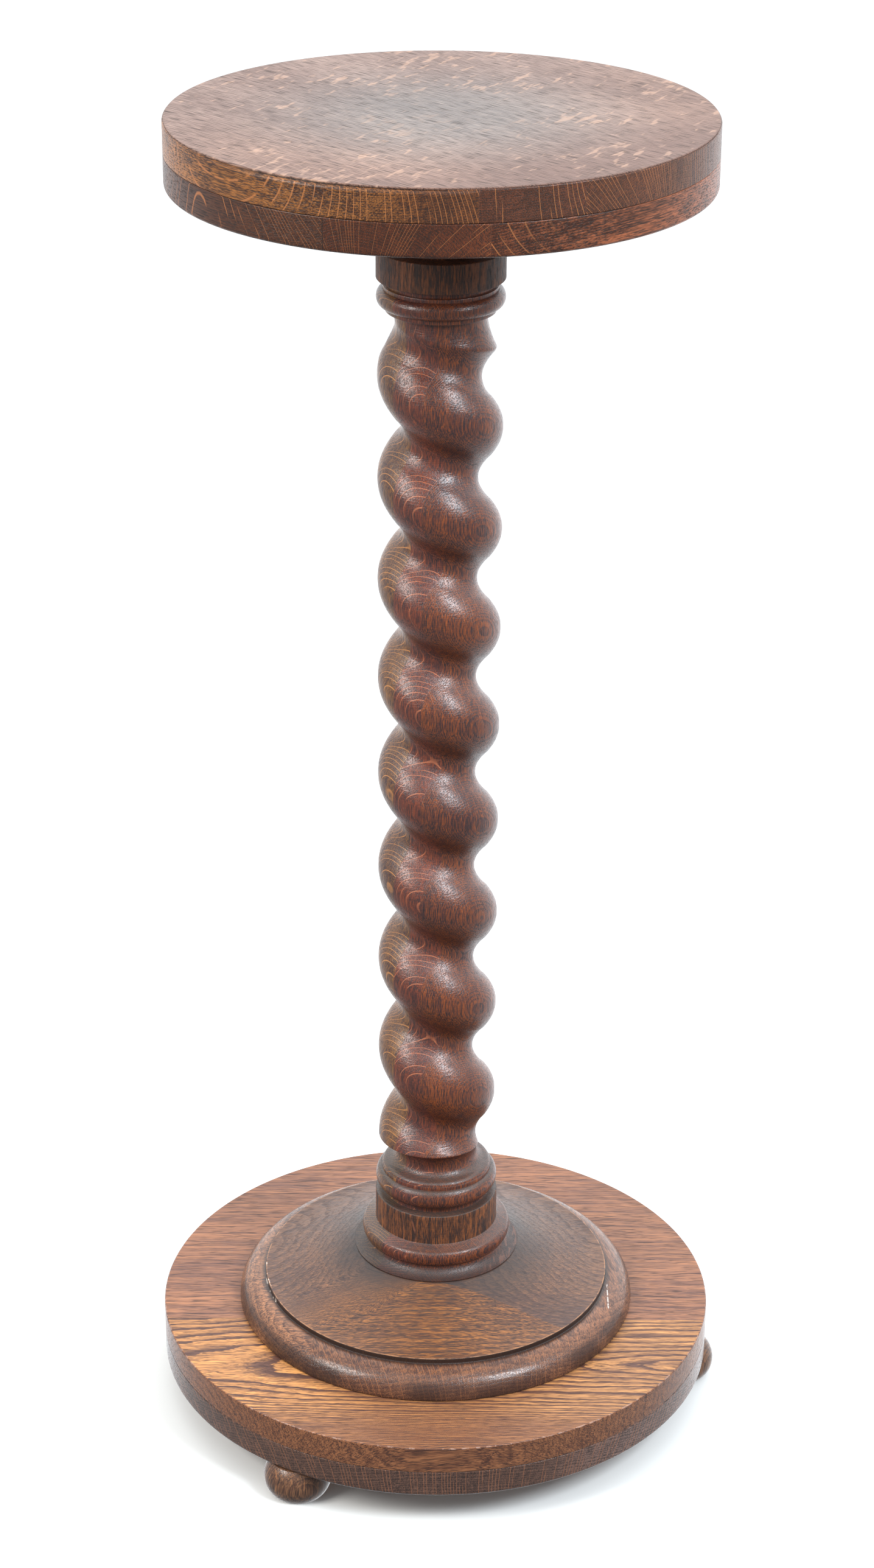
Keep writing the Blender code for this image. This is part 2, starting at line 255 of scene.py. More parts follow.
def twist_surface(radius, height, angle):
    """Radius of the column at every point. Phase = height / pitch + angle / full turn. Across one turn
    the ridge is a parabola over BEAD_SHARE of the pitch and the hollow is a parabola over the rest. The
    surface is the soft minimum of the blank's radius and the twist's: their mean, less half of the
    root of their difference squared plus the softness squared."""
    up = height - lower_neck
    down = lower_neck + TWIST_LENGTH - height
    phase = up / TWIST_PITCH + (angle - TWIST_START) / (2.0 * math.pi)
    from_crest = 2.0 * np.abs(phase - np.round(phase))
    ridge = 1.0 - 0.5 * (from_crest / BEAD_SHARE) ** 2
    valley = 0.5 * ((1.0 - from_crest) / (1.0 - BEAD_SHARE)) ** 2
    swell = np.where(from_crest < BEAD_SHARE, ridge, valley)
    lower = np.clip(1.0 - up / LOWER_RUN_OUT, 0.0, 1.0) ** RUN_OUT_POWER
    upper = np.clip(1.0 - down / UPPER_RUN_OUT, 0.0, 1.0) ** RUN_OUT_POWER
    hollow = TWIST_HOLLOW + (LOWER_NECK - TWIST_HOLLOW) * lower + (UPPER_NECK - TWIST_HOLLOW) * upper
    twist = hollow + (TWIST_RADIUS - hollow) * swell
    inside = (up > 0.0) & (down > 0.0)
    fade = SOFT_EDGE * np.clip(np.minimum(up, down) / (4.0 * MM), 0.0, 1.0)
    soft = 0.5 * (radius + twist - np.sqrt((radius - twist) ** 2 + fade**2))
    return np.where(inside, soft, radius), height


def shaft_outline():
    """The turned blank between the necks: a cove, the round shaft, and a longer cove."""
    shaft_foot = lower_neck + LOWER_COVE
    shaft_top = lower_neck + TWIST_LENGTH - UPPER_COVE
    points = arc((LOWER_NECK, lower_neck), (TWIST_RADIUS + EDGE, shaft_foot), False, 20)
    points += line(points[-1], (TWIST_RADIUS + EDGE, shaft_top), TWIST_ROWS)
    shares = 1.0 - np.arange(1, 26) / 26
    cove = UPPER_NECK + (TWIST_RADIUS + EDGE - UPPER_NECK) * shares**UPPER_COVE_POWER
    return points + list(zip(cove, shaft_top + UPPER_COVE * (1.0 - shares)))


column_outline = foot_outline + shaft_outline() + head_outline
column_grid = turn(column_outline, COLUMN_SEGMENTS, twist_surface)
column = mesh_piece("turned_column", column_grid)
print(f"column: {len(column_outline)} rows, {len(column.data.polygons)} faces")

# %% [markdown]
# ## The plinth
# The plinth is a wide turned block. Its edge is an ovolo, a quarter round. Above it stands a small step,
# and from there the top rises in a shallow dish to the seat of the column. It keeps the tool marks of the
# lathe: rings that are felt more than seen.

# %% Turn the plinth
ROUND_SEGMENTS = 288
OVOLO_WIDTH = 20.1 * MM
OVOLO_HEIGHT = 20.0 * MM
STEP_HEIGHT = 4.2 * MM
DISH_CURVE = 1.5
SEAT_RADIUS = 62.7 * MM


def plinth_outline():
    """Outline of the plinth from its underside up to the flat seat of the column."""
    low, high = levels("plinth")
    low -= 0.3 * MM
    reach = radius_of("plinth")
    rim = reach - OVOLO_WIDTH
    points = [(reach - 0.8 * MM, low + 0.3 * MM), (reach - 0.2 * MM, low + 0.5 * MM)]
    points += [(reach, low + 1.0 * MM)]
    points += arc(points[-1], (rim + 0.6 * MM, low + OVOLO_HEIGHT), False, 22)
    points += arc(points[-1], (rim, low + OVOLO_HEIGHT + 0.3 * MM), True, 2)
    step_top = low + OVOLO_HEIGHT + STEP_HEIGHT
    points += line(points[-1], (rim, step_top - 0.5 * MM), 3)
    points += arc(points[-1], (rim - 0.5 * MM, step_top), False, 3)
    shares = np.arange(1, 41) / 40
    radii = rim - 0.5 * MM + (SEAT_RADIUS - rim + 0.5 * MM) * shares
    return points + list(zip(radii, step_top + (high - step_top) * shares**DISH_CURVE))


plinth = mesh_piece("turned_plinth", turn(plinth_outline(), ROUND_SEGMENTS))
print(f"plinth: {len(plinth.data.polygons)} faces")

# %% [markdown]
# ## The boards
# The top and the base are round boards, each glued up from two layers, and the top carries a sheet of
# veneer. A board's outline is only a flat edge with two small rounds. The last millimetre under the upper
# rim has finer rows, so that an open glue line has points to move.

# %% Turn the boards and the veneer
FINE_ROWS = (1.2 * MM, 0.8 * MM)


def board(name, node, lower_round, upper_round):
    """Round board in the place of a packed one, with both rims rounded by the given radii."""
    low, high = levels(node)
    reach = radius_of(node)
    points = [(0.5 * reach, low), (reach - lower_round, low)]
    points += arc(points[-1], (reach, low + lower_round), True, 5)
    points += line(points[-1], (reach, high - FINE_ROWS[0]), 8)
    points += line(points[-1], (reach, high - max(upper_round, FINE_ROWS[1])), 2)
    points += arc(points[-1], (reach - upper_round, high), False, 5)
    points += line(points[-1], (reach - 4.0 * MM, high), 2)
    points += line(points[-1], (0.4 * reach, high), 4)
    return mesh_piece(name, turn(points, ROUND_SEGMENTS))


base_lower = board("base_layer_lower", "base_board_lower", 2.1 * MM, 0.4 * MM)
base_upper = board("base_layer_upper", "base_board_upper", 0.4 * MM, 1.0 * MM)
top_lower = board("top_layer_lower", "top_board_lower", 2.7 * MM, 0.4 * MM)
top_upper = board("top_layer_upper", "top_board_upper", 0.4 * MM, 0.4 * MM)
veneer = board("top_sheet", "top_veneer", 0.2 * MM, 0.5 * MM)
print("boards:", ", ".join(piece.name for piece in (base_lower, base_upper, top_lower, top_upper, veneer)))

# %% [markdown]
# ## The open glue line
# At the front left the glue has let go, and the photograph shows a dark line under the veneer's rim. On the
# real top that is a groove between two layers, so here the upper layer's last millimetre stands back. A
# dark line of colour alone would have no depth from the side.

# %% Open the glue line
GAP_DEPTH = 1.2 * MM
GAP_HEIGHT = 1.0 * MM
GAP_STARTS = (-152.0, -140.0)
GAP_ENDS = (-96.0, -80.0)


def soft_step(value, low, high):
    """Smooth step: 0 below low, 1 above high."""
    share = np.clip((value - low) / (high - low), 0.0, 1.0)
    return share * share * (3.0 - 2.0 * share)


def open_glue_line(piece, node):
    """The points of the last millimetre move towards the axis, by the gap's depth times a smooth window
    over the azimuth."""
    spots = np.empty(3 * len(piece.data.vertices))
    piece.data.vertices.foreach_get("co", spots)
    spots = spots.reshape(-1, 3)
    radius = np.hypot(spots[:, 0], spots[:, 1])
    azimuth = np.degrees(np.arctan2(spots[:, 1], spots[:, 0]))
    window = soft_step(azimuth, *GAP_STARTS) * (1.0 - soft_step(azimuth, *GAP_ENDS))
    moved = (spots[:, 2] > levels(node)[1] - GAP_HEIGHT) & (radius > 0.9 * radius_of(node))
    spots[:, :2] *= np.where(moved, 1.0 - GAP_DEPTH * window / np.maximum(radius, MM), 1.0)[:, None]
    piece.data.vertices.foreach_set("co", spots.ravel())
    piece.data.update()
    print(f"glue line: {int((moved & (window > 0.5)).sum())} points stand back {1000.0 * GAP_DEPTH:.1f} mm")


open_glue_line(top_upper, "top_board_upper")

# %% [markdown]
# ## The feet
# Three bun feet, turned as flattened balls with a flat against the floor and one against the base.

# %% Turn the feet
FOOT_PAD = 19.9 * MM
FOOT_SEAT = 19.5 * MM
FOOT_NODES = ("foot_front_left", "foot_right", "foot_back")


def foot(name, node):
    """Bun foot: an ellipse over its height, cut flat at the pad and the seat."""
    low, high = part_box(node)
    reach = 0.5 * (high[0] - low[0])
    centre = (0.5 * (low[0] + high[0]), 0.5 * (low[1] + high[1]))
    below = math.sqrt(1.0 - (FOOT_PAD / reach) ** 2)
    above = math.sqrt(1.0 - (FOOT_SEAT / reach) ** 2)
    half = (high[2] - low[2]) / (below + above)
    rise = np.linspace(low[2], high[2], 25)
    share = np.clip((rise - low[2] - half * below) / half, -1.0, 1.0)
    radii = reach * np.sqrt(1.0 - share**2)
    return mesh_piece(name, turn(list(zip(radii, rise)), 96, centre=centre))


feet = [foot(f"bun_{node}", node) for node in FOOT_NODES]
print("feet:", ", ".join(piece.name for piece in feet))

# %% [markdown]
# ## What each piece stands for
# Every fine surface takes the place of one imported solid. Nothing on a stand like this moves, so all of
# them ride on the one body.

# %% Say what each piece stands for
STANDS_FOR = {
    "column": (column, "oak_turned"),
    "plinth": (plinth, "oak_turned"),
    "base_board_lower": (base_lower, "oak_board"),
    "base_board_upper": (base_upper, "oak_board"),
    "top_board_lower": (top_lower, "oak_edge"),
    "top_board_upper": (top_upper, "oak_edge"),
    "top_veneer": (veneer, "oak_top"),
    **{node: (piece, "oak_turned") for node, piece in zip(FOOT_NODES, feet)},
}
for node, (piece, slot) in STANDS_FOR.items():
    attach(piece, "root")
    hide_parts(node)
print("pieces in place:", len(STANDS_FOR))

# %% [markdown]
# ## Short words for nodes
# A material is a tree of nodes, and long chains of nodes are hard to read. Here the output of a node is
# wrapped as a value that can be added and multiplied, so the trees below read like formulas. Small helpers
# add the other kinds of node, and make a group with named sockets.

# %% Helpers for node trees


class Value:
    """Output of a node. A sum of values is written as a sum, and adds one node to their tree."""

    def __init__(self, socket):
        self.socket = socket
        self.tree = socket.id_data

    def __add__(self, other):
        return calc("ADD", self, other)

    def __sub__(self, other):
        return calc("SUBTRACT", self, other)

    def __rsub__(self, other):
        return calc("SUBTRACT", other, self)

    def __mul__(self, other):
        return calc("MULTIPLY", self, other)

    def __truediv__(self, other):
        return calc("DIVIDE", self, other)


def wire(node, inputs):
    """Link each input named to its value, or set it to its number, colour or vector."""
    for name, value in inputs.items():
        if isinstance(value, Value):
            value.tree.links.new(value.socket, node.inputs[name])
        else:
            node.inputs[name].default_value = value


def add(kind, inputs, **settings):
    """Node of a kind with its settings, in the tree that its inputs come from."""
    tree = next(value.tree for value in inputs.values() if isinstance(value, Value))
    node = tree.nodes.new(kind)
    for name, value in settings.items():
        setattr(node, name, value)
    wire(node, inputs)
    return node


def calc(operation, *values):
    """One sum of one, two or three values."""
    return Value(add("ShaderNodeMath", dict(enumerate(values)), operation=operation).outputs[0])


def clamped(value):
    """The same sum, kept between 0 and 1."""
    value.socket.node.use_clamp = True
    return value


def step_up(value, low, high):
    """Smooth step: 0 below low, 1 above high."""
    inputs = {"Value": value, "From Min": low, "From Max": high}
    return Value(add("ShaderNodeMapRange", inputs, interpolation_type="SMOOTHSTEP").outputs["Result"])


def near(value, middle, reach):
    """1 where a value lies within a reach of the middle, 0 elsewhere."""
    return calc("COMPARE", value, middle, reach)


def between(share, first, second):
    """Number that goes from the first to the second with a share."""
    return calc("MULTIPLY_ADD", share, second - first, first)


def vector(x, y, z):
    """Vector of three values."""
    return Value(add("ShaderNodeCombineXYZ", {"X": x, "Y": y, "Z": z}).outputs[0])


def parts_of(place):
    """The three parts of a vector."""
    return [Value(part) for part in add("ShaderNodeSeparateXYZ", {0: place}).outputs]


def noise(place, scale=1.0, detail=2.0, rough=0.5, kind="Fac"):
    """Noise over a vector."""
    inputs = {"Vector": place, "Scale": scale, "Detail": detail, "Roughness": rough}
    return Value(add("ShaderNodeTexNoise", inputs).outputs[kind])


def along(place, direction):
    """How far a place lies along a direction."""
    inputs = {0: place, 1: direction}
    return Value(add("ShaderNodeVectorMath", inputs, operation="DOT_PRODUCT").outputs["Value"])


def from_axis(place):
    """How far a place lies from the axis of the stand."""
    x, y, _ = parts_of(place)
    return calc("SQRT", x * x + y * y)


def stretched(place, sizes):
    """Place divided by a size for each direction, so that noise gets that grain."""
    inputs = {"Vector": place, "Scale": tuple(1.0 / size for size in sizes)}
    return Value(add("ShaderNodeMapping", inputs).outputs[0])


def blend(share, first, second):
    """Mix of two colours by a share."""
    return Value(add("ShaderNodeMix", {0: share, 6: first, 7: second}, data_type="RGBA").outputs[2])


def coated(colour, coats):
    """Colour under coats one after the other, each with its share and its colour."""
    for share, coat in coats:
        colour = blend(share, colour, coat)
    return colour


def blend_places(share, first, second):
    """Mix of two vectors by a share: the first plus the share of the way to the second."""
    away = Value(add("ShaderNodeVectorMath", {0: second, 1: first}, operation="SUBTRACT").outputs[0])
    part = Value(add("ShaderNodeVectorMath", {0: away, "Scale": share}, operation="SCALE").outputs[0])
    return Value(add("ShaderNodeVectorMath", {0: first, 1: part}, operation="ADD").outputs[0])


def tone(red, green, blue):
    """Colour in thousandths of full linear light, with its alpha."""
    return (red / 1000.0, green / 1000.0, blue / 1000.0, 1.0)


def group_of(name, inputs, outputs):
    """New node group. Inputs are names with a start value: a number, or a colour or vector as a tuple.
    Outputs are names with their socket's kind. Gives the group, its inputs as values and its last node."""
    group = bpy.data.node_groups.new(name, "ShaderNodeTree")
    for label, value in inputs.items():
        kind = "NodeSocketFloat"
        if isinstance(value, tuple):
            kind = "NodeSocketColor" if len(value) == 4 else "NodeSocketVector"
        group.interface.new_socket(name=label, in_out="INPUT", socket_type=kind).default_value = value
    for label, kind in outputs.items():
        group.interface.new_socket(name=label, in_out="OUTPUT", socket_type=kind)
    source = group.nodes.new("NodeGroupInput").outputs
    return group, {label: Value(source[label]) for label in inputs}, group.nodes.new("NodeGroupOutput")


print("a warm brown:", tone(215, 93, 26))

# %% [markdown]
# ## Oak, worked out in the solid
# Oak shows three things at once. Growth rings lie round the pith and start with a row of large pores.
# The pores run along the grain as short dark dashes once stain has filled them. Rays are thin sheets that
# stand from the pith outwards, and where a surface cuts them they show as pale lines, or as flecks on a
# surface that lies along them. Because the group works with the distance from the pith and the angle
# round it, the same wood gives loops on the round of the twist, a cathedral on a flat board and straight
# rays on end grain, as real wood does. A flat picture wrapped round the twist could never do that.

# %% Node group: figure of oak
FIGURE_INPUTS = {
    "Wood": (0.0, 0.0, 0.0),
    "Ring Width": 0.002, "Ring Wander": 0.002, "Ring Fall": 1.7, "Ring Fray": 0.0,
    "Pore Width": 0.00045, "Pore Length": 0.006, "Pore Cover": 0.5,
    "Pith Distance": 0.2, "Ray Spacing": 0.003, "Ray Width": 0.00035, "Ray Reach": 0.05,
    "Ray Height": 0.008, "Ray Cover": 0.4, "Ray Wander": 0.001,
    "Fibre Width": 0.0006, "Fibre Length": 0.006, "Facing": 1.0,
}
FIGURE_OUTPUTS = dict.fromkeys(("Rings", "Pores", "Rays", "Fibre", "Streaks", "Patches"), "NodeSocketFloat")
DRIFT_SIZES = (0.055, 0.055, 0.17)
FRAY_SIZES = (0.0035, 0.0035, 0.018)
SHEET_SHUFFLE = 7.31


def make_figure():
    """Wood is a vector in metres: X away from the pith, Y across, Z along the grain. Ring distance is the
    length of (X, Y) plus a slow wander, and ring phase is its fraction of the ring width. Rays stand at even
    steps of the angle round the pith, and the step is the ray spacing over the pith's usual distance."""
    group, given, result = group_of("figure_of_oak", FIGURE_INPUTS, FIGURE_OUTPUTS)
    wood = given["Wood"]
    x, y, z = parts_of(wood)
    drift = noise(stretched(wood, DRIFT_SIZES), 1.0, 3.0, 0.55, "Color")
    drift = [Value(part) for part in add("ShaderNodeSeparateColor", {0: drift}).outputs]
    wander = given["Ring Wander"] * 4.0
    across, aside = (drift[0] - 0.5) * wander + x, (drift[1] - 0.5) * wander + y
    distance = calc("SQRT", across * across + aside * aside)
    angle = calc("ARCTAN2", y, x)
    arc_length = angle * distance

    torn = noise(stretched(wood, FRAY_SIZES), 1.0, 2.0, 0.6)
    turns = ((torn - 0.5) * given["Ring Fray"] + distance) / given["Ring Width"]
    uneven = noise(vector(turns * 0.31, 0.0, 0.0), 1.0, 1.0)
    phase = calc("FRACT", uneven * 1.6 + turns)
    early = calc("POWER", 1.0 - phase, given["Ring Fall"]) * step_up(phase, 0.0, 0.08)

    fine = [part / given["Pore Width"] for part in (distance, arc_length)]
    dots = noise(vector(*fine, z / given["Pore Length"]), 0.5, 1.0, 0.4)
    least = early * -0.13 + (given["Pore Cover"] * -0.2 + 0.68)
    pores = clamped((dots - least) / 0.09)

    thread = [part / given["Fibre Width"] for part in (distance, arc_length)]
    thread = vector(*thread, z / given["Fibre Length"])

    bend = noise(wood, 14.0, 1.0)
    fan = (bend - 0.5) * (given["Ray Wander"] * 8.0) + angle * given["Pith Distance"]
    sheets = fan / given["Ray Spacing"]
    from_sheet = calc("ABSOLUTE", calc("FRACT", sheets) - 0.5)
    half = given["Ray Width"] / (given["Ray Spacing"] * 2.0)
    which = calc("FLOOR", sheets) * SHEET_SHUFFLE
    present = noise(vector(distance / given["Ray Reach"], which, z / given["Ray Height"]), 0.8, 0.0)
    there = clamped((present - (given["Ray Cover"] * -0.4 + 0.7)) / 0.10)
    edge = clamped((there * 0.8 + 0.7) - from_sheet / half)
    wire(result, {
        "Rings": early, "Pores": pores, "Rays": edge * there * given["Facing"], "Patches": drift[2],
        "Fibre": noise(thread, 0.7, 2.0, 0.6), "Streaks": noise(thread, 0.16, 1.0, 0.5),
    })
    return group


figure_of_oak = make_figure()
print("figure of oak:", len(figure_of_oak.nodes), "nodes")

# %% [markdown]
# ## Stain over the figure
# The maker stained the stand dark. Stain sinks into pores and early wood and stays off the hard rays, so
# the pores go nearly black and the rays stay orange. This group turns the figure into a colour, a height
# for the bump and a roughness.

# %% Node group: stained oak
STAIN_INPUTS = {
    "Rings": 0.0, "Pores": 0.0, "Rays": 0.0, "Fibre": 0.5, "Streaks": 0.5, "Patches": 0.5,
    "Light": tone(300, 120, 50), "Dark": tone(80, 30, 20),
    "Pore Colour": tone(20, 10, 8), "Ray Colour": tone(450, 170, 50),
    "Ring Strength": 0.4, "Pore Strength": 0.7, "Ray Strength": 0.8,
    "Contrast": 1.0, "Streakiness": 1.2, "Patchiness": 1.0, "Sheen": 0.36,
}
STAIN_OUTPUTS = {"Colour": "NodeSocketColor", "Height": "NodeSocketFloat", "Roughness": "NodeSocketFloat"}


def make_stain():
    """Colour = light and dark mixed by the fibre, darker at the start of each ring, then pores, then rays.
    Height = rays and fibre less pores and rings. Roughness = sheen plus a little for pores and fibre."""
    group, given, result = group_of("stained_oak", STAIN_INPUTS, STAIN_OUTPUTS)
    share = (given["Fibre"] - 0.5) * (given["Contrast"] * 3.0) + 0.5
    share = (given["Streaks"] - 0.5) * given["Streakiness"] + share
    share = (given["Patches"] - 0.5) * given["Patchiness"] + share
    share = clamped(share - given["Rings"] * given["Ring Strength"])
    colour = coated(given["Dark"], [
        (share, given["Light"]),
        (given["Pores"] * given["Pore Strength"], given["Pore Colour"]),
        (given["Rays"] * given["Ray Strength"], given["Ray Colour"]),
    ])
    height = given["Rings"] * -0.35 + (given["Rays"] * 0.25 - given["Pores"])
    wire(result, {
        "Colour": colour,
        "Height": given["Fibre"] * 0.35 + height,
        "Roughness": clamped(given["Fibre"] * 0.10 + (given["Pores"] * 0.16 + given["Sheen"])),
    })
    return group


stained_oak = make_stain()
print("stained oak:", len(stained_oak.nodes), "nodes")

# %% [markdown]
# ## Planks, and joints between them
# Each piece was cut from its own plank, and several are glued up from strips, so the grain changes at
# each joint. A plank is told by three things: the direction away from its pith, the direction of its
# grain, and a point that the pith runs through. A Mapping node turns Object coordinates into the plank's
# own, and where strips meet, a sharp step along one direction picks the plank.

# %% Planks and joints
JOINT_BLUR = 0.00015
BUMP_DISTANCE = 0.0003
UP, DOWN = (0.0, 0.0, 1.0), (0.0, 0.0, -1.0)


def level_way(azimuth, length=1.0):
    """Vector that lies level, at an azimuth in degrees from the X axis."""
    return (length * math.cos(math.radians(azimuth)), length * math.sin(math.radians(azimuth)), 0.0)


def plank(place, away, grain, pith):
    """Place seen from a plank: X away from the pith, Y across, Z along the grain."""
    grain = Vector(grain).normalized()
    away = Vector(away)
    away = (away - away.dot(grain) * grain).normalized()
    turned = Matrix((away, grain.cross(away), grain))
    start = turned @ Vector(pith)
    inputs = {"Vector": place, "Location": tuple(-start), "Rotation": turned.to_euler()}
    return Value(add("ShaderNodeMapping", inputs).outputs[0])


def glued(measure, cuts, planks):
    """Wood of several planks glued side by side. The measure grows from the first plank to the last, and
    the cuts are its values at the joints. Gives the wood and one step for each joint."""
    wood, steps = planks[0], []
    for cut, following in zip(cuts, planks[1:]):
        steps.append(step_up(measure, cut - JOINT_BLUR, cut + JOINT_BLUR))
        wood = blend_places(steps[-1], wood, following)
    return wood, steps


def blank_material(name, gloss):
    """New material with its gloss. Gives it, its Object coordinates and its normal."""
    material = bpy.data.materials.new(name)
    material.use_nodes = True
    nodes = material.node_tree.nodes
    nodes["Principled BSDF"].inputs["Specular IOR Level"].default_value = gloss
    source = nodes.new("ShaderNodeTexCoord").outputs
    return material, Value(source["Object"]), Value(source["Normal"])


def oak(wood, figure, stain):
    """Both groups on a plank's coordinates, with their own values. Gives colour, roughness and height."""
    shape = add("ShaderNodeGroup", {"Wood": wood, **figure}, node_tree=figure_of_oak)
    seen = {name: Value(shape.outputs[name]) for name in FIGURE_OUTPUTS}
    look = add("ShaderNodeGroup", {**seen, **stain}, node_tree=stained_oak)
    return [Value(look.outputs[name]) for name in ("Colour", "Roughness", "Height")]


def finish(material, colour, roughness, height, bump):
    """Link a colour, a roughness and a height to the shader."""
    relief = add("ShaderNodeBump", {"Height": height, "Strength": bump, "Distance": BUMP_DISTANCE})
    shader = material.node_tree.nodes["Principled BSDF"]
    wire(shader, {"Base Color": colour, "Roughness": roughness, "Normal": Value(relief.outputs["Normal"])})
    return material


print("a plank with its grain level at azimuth -48:", [round(v, 3) for v in level_way(-48.0)])

# %% [markdown]
# ## Oak of the column
# The blank of the column was glued from four strips, and the joints stand upright and run at 45 degrees
# to the front. On the ridge the strips show: level orange ray lines to the left, hardly any at the front
# where the rays are cut across and show as short reddish dashes, and rings like fingerprints at the right.
# Thin varnish lies on it. The two drums were turned across a streakier stretch, and the upper one is painted
# darker as shade under the top. Dust and painted sheen grey the mouldings of the foot where they look up, and
# grime, painted shade and scuffs lie where the flare meets the plinth.

# %% Material: turned oak
STRIP = 22.6 * MM
FIRST_JOINT = -24.4 * MM
# Azimuth away from the pith, its distance, and the lean of the grain
COLUMN_STRIPS = ((140.0, 0.20, 0.0), (-38.0, 0.22, 0.02), (0.0, 0.25, 0.0), (-42.0, 0.17, 0.01))
COLUMN_GLOSS = 0.46
LOWER_DRUM = column_low + 35.5 * MM
HALF_DRUM = 12.0 * MM
UPPER_DRUM = column_high - 66.9 * MM
SCUFF_SIZES = (0.0022, 0.012, 0.012)
TOOL_SIZES = (0.006, 0.006, 0.0008)


def column_oak():
    """Drums, bead and seat are told by height, the dusting and painted sheen by height and by how far the
    surface looks up. The upper drum and the seat are darkened with painted shade. The relief is that of the
    wood plus fine rings round the axis."""
    material, place, normal = blank_material("turned_oak", COLUMN_GLOSS)
    height, looking_up = parts_of(place)[2], parts_of(normal)[2]
    strips = [
        plank(place, level_way(azimuth), (lean, 0.0, 1.0), level_way(azimuth, -far))
        for azimuth, far, lean in COLUMN_STRIPS
    ]
    cuts = [FIRST_JOINT + count * STRIP for count in range(3)]
    wood, steps = glued(along(place, level_way(-45.0)), cuts, strips)
    on_drum = step_up(height, UPPER_DRUM - 1.0 * MM, UPPER_DRUM) + near(height, LOWER_DRUM, HALF_DRUM)
    # Painted shade: the upper drum's tone is darker than the lower one's, as under the overhang of the top.
    drum_tones_and_shade = blend(step_up(height, 0.3, 0.6), tone(205, 64, 18), tone(152, 44, 11))
    left = blend(steps[1], tone(215, 93, 26), tone(196, 47, 21))
    collar = near(height, column_low + 11.0 * MM, 4.5 * MM)
    figure = {
        "Ring Width": 0.0010, "Ring Wander": 0.0008, "Pore Width": 0.00036, "Pore Length": 0.0035,
        "Ray Spacing": 0.0020, "Ray Width": 0.00019, "Ray Reach": 0.06, "Ray Height": 0.012,
        "Ray Cover": between(steps[2], 0.90, 0.45), "Fibre Width": 0.0004, "Fibre Length": 0.0042,
        "Facing": between(step_up(looking_up, -0.15, 0.35), 0.25, 1.0),
    }
    stain = {
        "Light": coated(left, [(steps[2], tone(218, 56, 16)), (on_drum, drum_tones_and_shade)]),
        "Dark": blend(on_drum, tone(45, 20, 20), tone(30, 12, 8)), "Pore Colour": tone(18, 12, 12),
        "Ray Colour": blend(steps[1], tone(460, 190, 55), tone(400, 130, 60)),
        "Ring Strength": 0.45, "Ray Strength": between(steps[2], 0.8, 0.45),
        "Sheen": on_drum * 0.32 + between(collar, 0.25, 0.06),
        "Streakiness": between(on_drum, 1.1, 2.4), "Contrast": between(on_drum, 0.8, 1.1),
    }
    colour, rough, relief = oak(wood, figure, stain)
    # Dust and painted sheen: the mouldings of the foot are greyed where they look up.
    dust_and_sheen = (1.0 - step_up(height, 0.185, 0.215)) * step_up(looking_up, 0.25, 0.8)
    dust_and_sheen = dust_and_sheen * between(step_up(height, LOWER_DRUM, LOWER_DRUM + HALF_DRUM), 0.35, 0.65)
    seat = 1.0 - step_up(height, column_low + 5.0 * MM, column_low + 8.0 * MM)
    at_right = step_up(along(place, level_way(-15.0)), 0.040, 0.056)
    scuffs = seat * at_right * step_up(noise(stretched(place, SCUFF_SIZES)), 0.50, 0.60)
    # Painted shade and grime: the seat under the collar is darkened nearly to black; the scuffs at the right
    # are wear.
    coats = [(dust_and_sheen, tone(34, 32, 28)), (seat * 0.60, tone(12, 9, 9)), (scuffs * 0.55, tone(150, 62, 40))]
    tool = noise(stretched(place, TOOL_SIZES), 1.0, 1.0) * 2.2
    relief = (tool + relief) * between(collar, 1.0, 0.3)
    return finish(material, coated(colour, coats), seat * 0.12 + (dust_and_sheen * 0.06 + rough), relief, 0.25)


def foot_oak():
    """The feet were turned from offcuts with upright grain, and show brown pores and a few orange streaks."""
    material, place, _ = blank_material("foot_oak", 0.35)
    wood = plank(place, level_way(-60.0), (0.1, 0.0, 1.0), (-0.20, 0.16, 0.0))
    figure = {
        "Ring Width": 0.0022, "Ring Wander": 0.001, "Ray Spacing": 0.005, "Ray Width": 0.0003,
        "Ray Cover": 0.3, "Fibre Length": 0.008,
    }
    stain = {
        "Light": tone(200, 95, 48), "Dark": tone(75, 36, 24), "Pore Colour": tone(25, 15, 12),
        "Ray Colour": tone(360, 150, 60), "Ring Strength": 0.6, "Ray Strength": 0.5, "Sheen": 0.17,
    }
    return finish(material, *oak(wood, figure, stain), 0.2)


turned_oak, ball_oak = column_oak(), foot_oak()
print("turned oak:", len(turned_oak.node_tree.nodes), "and", len(ball_oak.node_tree.nodes), "nodes")

# %% [markdown]
# ## Oak of the plinth
# The plinth is turned from boards glued side by side. The front board is amber with level pores, and the
# one behind it is darker, with grime and painted shade round the foot of the column. The ovolo was turned
# from a ring of two darker pieces. It is polished, paler towards both sides and darker in patches towards
# its foot. The rim is rubbed pale and chipped at the left, a scratch crosses the ovolo at the right, and
# the dish keeps faint rings of the tool.

# %% Material: plinth oak
PLINTH_JOINT = -62.5 * MM
JOINT_SLOPE = 0.10
JOINT_BOW = 1.9
OVOLO_JOINT = -93.0 * MM
SCRATCH = (132.5 * MM, -38.0 * MM)
SCRATCH_WIDTH, SCRATCH_LENGTH = 0.5 * MM, 15.0 * MM
TURNING_MARKS = 260.0
TOOL_RINGS = 2300.0


